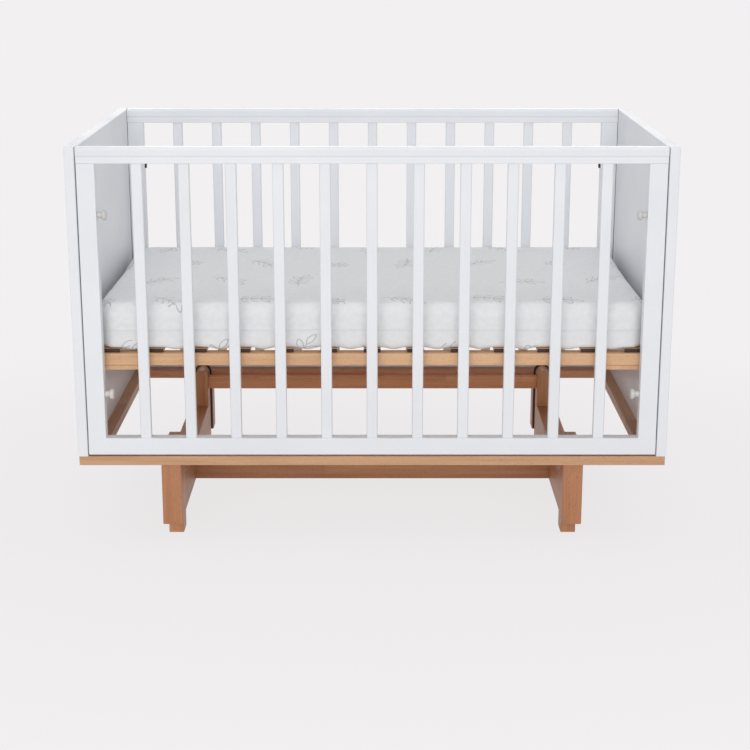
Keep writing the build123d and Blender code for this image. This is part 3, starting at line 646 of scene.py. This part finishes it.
    # The first pick chooses: a sprig, a ring, or an empty cell.
    sprigs_up_to, rings_up_to = 0.58, 0.82
    is_sprig = maths(tree, "LESS_THAN", picks[0], sprigs_up_to)
    past_sprigs = maths(tree, "GREATER_THAN", picks[0], sprigs_up_to)
    is_ring = times(past_sprigs, maths(tree, "LESS_THAN", picks[0], rings_up_to))
    both = maths(tree, "MULTIPLY_ADD", sprig, is_sprig, times(ring, is_ring))
    tree.links.new(both, out["Mask"])
    return tree


def woven_threads():
    """A plain weave: threads over and under in both directions, a little uneven in thickness."""
    tree, given, out = effect(
        "woven_threads",
        (("Vector", VECTOR, None), ("Thread", VALUE, 0.0012)),
        (("Shade", VALUE), ("Height", VALUE)),
    )
    apart = place(tree, "ShaderNodeSeparateXYZ", {0: given["Vector"]}).outputs
    half_turn = maths(tree, "DIVIDE", math.pi, given["Thread"])
    warp = maths(tree, "SINE", maths(tree, "MULTIPLY", apart[0], half_turn))
    weft = maths(tree, "SINE", maths(tree, "MULTIPLY", apart[1], half_turn))
    over = maths(tree, "MULTIPLY", warp, weft)
    slub = place(tree, "ShaderNodeTexNoise", {"Vector": given["Vector"], "Scale": 90.0, "Detail": 3.0})
    height = maths(tree, "MULTIPLY_ADD", slub.outputs["Fac"], 0.8, maths(tree, "MULTIPLY", over, 0.5))
    tree.links.new(height, out["Height"])
    tree.links.new(slub.outputs["Fac"], out["Shade"])
    return tree


cover = bpy.data.materials.new("printed_cotton")
cover.use_nodes = True
tree = cover.node_tree
shader = tree.nodes["Principled BSDF"]
on_cloth = place(tree, "ShaderNodeUVMap", uv_map="cover").outputs[0]
threads = place(tree, "ShaderNodeGroup", node_tree=woven_threads())
sprigs = place(tree, "ShaderNodeGroup", node_tree=printed_sprigs())
sprigs.inputs["Cell"].default_value = 0.165
sprigs.inputs["Line"].default_value = 0.0009
sprigs.inputs["Seed"].default_value = 3.0
for group in (threads, sprigs):
    tree.links.new(on_cloth, group.inputs["Vector"])
bright_cotton, dull_cotton, print_grey_green = screen(236, 237, 238), screen(229, 231, 232), screen(134, 148, 138)
cotton = blended(tree, ramped(tree, threads.outputs["Shade"], 0.3, 0.7), bright_cotton, dull_cotton)
printed = blended(tree, maths(tree, "MULTIPLY", sprigs.outputs["Mask"], 0.5), cotton, print_grey_green)
relief = place(tree, "ShaderNodeBump", {"Strength": 0.3, "Distance": 0.0005, "Height": threads.outputs["Height"]})
tree.links.new(printed, shader.inputs["Base Color"])
tree.links.new(ramped(tree, threads.outputs["Shade"], 0.3, 0.7, 0.82, 0.92), shader.inputs["Roughness"])
tree.links.new(relief.outputs[0], shader.inputs["Normal"])
shader.inputs["Sheen Weight"].default_value = 0.15
shader.inputs["Sheen Roughness"].default_value = 0.5
pad.data.materials.clear()
pad.data.materials.append(cover)

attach(pad, "mattress")
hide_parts("mattress")


# The seam round the mattress's side, where the cover's top and bottom halves meet: a thin bead with a row of
# stitches under it, run by machine, in the cover's own cotton thread.

seam_height = 0.464
seam_cut = bmesh.new()
seam_cut.from_mesh(pad.data)
everything = list(seam_cut.verts) + list(seam_cut.edges) + list(seam_cut.faces)
cut = bmesh.ops.bisect_plane(seam_cut, geom=everything, plane_co=(0, 0, seam_height), plane_no=(0, 0, 1))
kept = {item for item in cut["geom_cut"] if isinstance(item, bmesh.types.BMEdge)}
bmesh.ops.delete(seam_cut, geom=[edge for edge in seam_cut.edges if edge not in kept], context="EDGES")
seam_mesh = bpy.data.meshes.new("mattress_seam")
seam_cut.to_mesh(seam_mesh)
seam_cut.free()
seam = bpy.data.objects.new("mattress_seam", seam_mesh)
bpy.context.scene.collection.objects.link(seam)
cover_thread = even_finish(
    "cover_thread", screen(234, 235, 236), screen(222, 224, 225), 2500.0, (0.75, 0.9), 0.3, Sheen_Weight=0.15
)


def sewn_seam():
    """A bead along the line given, and stitches in a row under it."""
    tree = bpy.data.node_groups.new("sewn_seam", "GeometryNodeTree")
    for label, kind, value in (
        ("Geometry", "NodeSocketGeometry", None),
        ("Bead Radius", "NodeSocketFloat", 0.0011),
        ("Stitch Pitch", "NodeSocketFloat", 0.0045),
        ("Stitch Length", "NodeSocketFloat", 0.0032),
        ("Stitch Radius", "NodeSocketFloat", 0.00045),
        ("Row Drop", "NodeSocketFloat", 0.0028),
        ("Thread", "NodeSocketMaterial", None),
    ):
        socket = tree.interface.new_socket(label, in_out="INPUT", socket_type=kind)
        if value is not None:
            socket.default_value = value
    tree.interface.new_socket("Geometry", in_out="OUTPUT", socket_type="NodeSocketGeometry")
    given = tree.nodes.new("NodeGroupInput").outputs
    line = place(tree, "GeometryNodeMeshToCurve", {"Mesh": given["Geometry"]}).outputs[0]
    spaced = {"Curve": line, "Length": given["Stitch Pitch"]}
    smooth = place(tree, "GeometryNodeResampleCurve", spaced, mode="LENGTH")
    round_bead = place(tree, "GeometryNodeCurvePrimitiveCircle", {"Resolution": 8, "Radius": given["Bead Radius"]})
    bead = place(tree, "GeometryNodeCurveToMesh", {"Curve": smooth.outputs[0], "Profile Curve": round_bead.outputs[0]})
    thread_end = place(
        tree,
        "GeometryNodeMeshCylinder",
        {"Vertices": 6, "Radius": given["Stitch Radius"], "Depth": given["Stitch Length"]},
    )
    points = place(tree, "GeometryNodeCurveToPoints", {"Curve": smooth.outputs[0]}, mode="EVALUATED")
    aligned = place(tree, "FunctionNodeAlignRotationToVector", {"Vector": points.outputs["Tangent"]}, axis="Z")
    row = place(
        tree,
        "GeometryNodeInstanceOnPoints",
        {"Points": points.outputs["Points"], "Instance": thread_end.outputs[0], "Rotation": aligned.outputs[0]},
    )
    drop = place(tree, "ShaderNodeCombineXYZ", {2: maths(tree, "MULTIPLY", given["Row Drop"], -1.0)})
    lowered = place(tree, "GeometryNodeSetPosition", {"Geometry": row.outputs[0], "Offset": drop.outputs[0]})
    real = place(tree, "GeometryNodeRealizeInstances", {"Geometry": lowered.outputs[0]})
    joined = tree.nodes.new("GeometryNodeJoinGeometry")
    tree.links.new(bead.outputs[0], joined.inputs[0])
    tree.links.new(real.outputs[0], joined.inputs[0])
    dressed = place(tree, "GeometryNodeSetMaterial", {"Geometry": joined.outputs[0], "Material": given["Thread"]})
    even = place(tree, "GeometryNodeSetShadeSmooth", {"Geometry": dressed.outputs[0]})
    tree.links.new(even.outputs[0], tree.nodes.new("NodeGroupOutput").inputs[0])
    return tree


sewing = seam.modifiers.new("sewing", "NODES")
sewing.node_group = sewn_seam()
for item in sewing.node_group.interface.items_tree:
    if item.in_out == "INPUT" and item.name == "Thread":
        sewing[item.identifier] = cover_thread
settled(seam)

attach(seam, "mattress")


# The studio: a pale seamless floor that keeps the crib's shadow and fades into the backdrop's colour, soft
# light from the front, and even light from all round.

backdrop = screen(242, 240, 241)
floor_reach = 40.0
floor_pale, floor_dull = screen(243, 241, 242), screen(239, 237, 238)

floor_mesh = bpy.data.meshes.new("floor")
floor_corners = [(x * floor_reach, y * floor_reach, 0.0) for x, y in ((-1, -1), (1, -1), (1, 1), (-1, 1))]
floor_mesh.from_pydata(floor_corners, [], [(0, 1, 2, 3)])
floor = bpy.data.objects.new("floor", floor_mesh)
bpy.context.scene.collection.objects.link(floor)


def seen_directly(tree):
    """1 for what the camera sees, straight on, in a gloss or through glass."""
    rays = place(tree, "ShaderNodeLightPath").outputs
    either = maths(tree, "MAXIMUM", rays["Is Camera Ray"], rays["Is Glossy Ray"])
    return maths(tree, "MAXIMUM", either, rays["Is Transmission Ray"])


floor_finish = bpy.data.materials.new("studio_floor")
floor_finish.use_nodes = True
tree = floor_finish.node_tree
shader = tree.nodes["Principled BSDF"]
spot = place(tree, "ShaderNodeTexCoord").outputs["Object"]
speck = place(tree, "ShaderNodeTexNoise", {"Vector": spot, "Scale": 2.0, "Detail": 2.0})
tree.links.new(blended(tree, speck.outputs["Fac"], floor_pale, floor_dull), shader.inputs["Base Color"])
shader.inputs["Roughness"].default_value = 0.75
shader.inputs["Specular IOR Level"].default_value = 0.1

# Near the crib the backdrop's colour only softens the shadow. From half a metre to 1.4 m out it takes over, in
# an oval that is longer along the crib.
softening, fade_from, fade_to = 0.86, 0.5, 1.4
oval = (0.62, 1.0, 0.0)
plain = place(tree, "ShaderNodeEmission", {"Color": backdrop, "Strength": 1.0})
from_middle = place(tree, "ShaderNodeVectorMath", {0: spot, 1: oval}, operation="MULTIPLY").outputs[0]
distance = place(tree, "ShaderNodeVectorMath", {0: from_middle}, operation="LENGTH").outputs["Value"]
fade_range = {0: distance, 1: fade_from, 2: fade_to, 3: softening, 4: 1.0}
fade = place(tree, "ShaderNodeMapRange", fade_range, interpolation_type="SMOOTHSTEP").outputs[0]
share = maths(tree, "MULTIPLY", fade, seen_directly(tree))
mixed = place(tree, "ShaderNodeMixShader", {0: share, 1: shader.outputs[0], 2: plain.outputs[0]})
tree.links.new(mixed.outputs[0], tree.nodes["Material Output"].inputs["Surface"])
floor.data.materials.append(floor_finish)

world = bpy.data.worlds.new("studio")
world.use_nodes = True
bpy.context.scene.world = world
tree = world.node_tree
tree.nodes.clear()
cool_white = (0.985, 0.99, 1.0, 1.0)
even_light = place(tree, "ShaderNodeBackground", {"Color": cool_white, "Strength": 0.48})
pale_wall = place(tree, "ShaderNodeBackground", {"Color": backdrop, "Strength": 1.0})
seen = place(tree, "ShaderNodeMixShader", {0: seen_directly(tree), 1: even_light.outputs[0], 2: pale_wall.outputs[0]})
place(tree, "ShaderNodeOutputWorld", {"Surface": seen.outputs[0]})

lit_middle = Vector((0.0, 0.0, 0.45))
for name, stands_at, wide, high, watts in (
    ("front_softbox", (-0.5, -7.0, 2.7), 7.0, 4.2, 222.0),
    ("top_softbox", (0.0, -0.4, 3.0), 3.0, 2.0, 12.0),
    ("back_softbox", (0.0, 3.6, 1.6), 3.2, 2.2, 24.0),
):
    lamp = bpy.data.lights.new(name, "AREA")
    lamp.shape = "RECTANGLE"
    lamp.size, lamp.size_y, lamp.energy = wide, high, watts
    holder = bpy.data.objects.new(name, lamp)
    holder.location = stands_at
    holder.rotation_euler = (lit_middle - holder.location).to_track_quat("-Z", "Y").to_euler()
    bpy.context.scene.collection.objects.link(holder)

# The camera looks a little down at the crib's front, with its lens shifted.
look_down = 13.14
lens = bpy.data.cameras.new("camera")
lens.lens = 68.66
lens.shift_y = -0.15
lens.clip_end = 200.0
camera = bpy.data.objects.new("camera", lens)
camera.location = (0.006, -3.1955, 1.2895)
camera.rotation_euler = (math.radians(90 - look_down), 0.0, 0.0)
bpy.context.scene.collection.objects.link(camera)
bpy.context.scene.camera = camera
bpy.context.scene.view_settings.view_transform = "Standard"
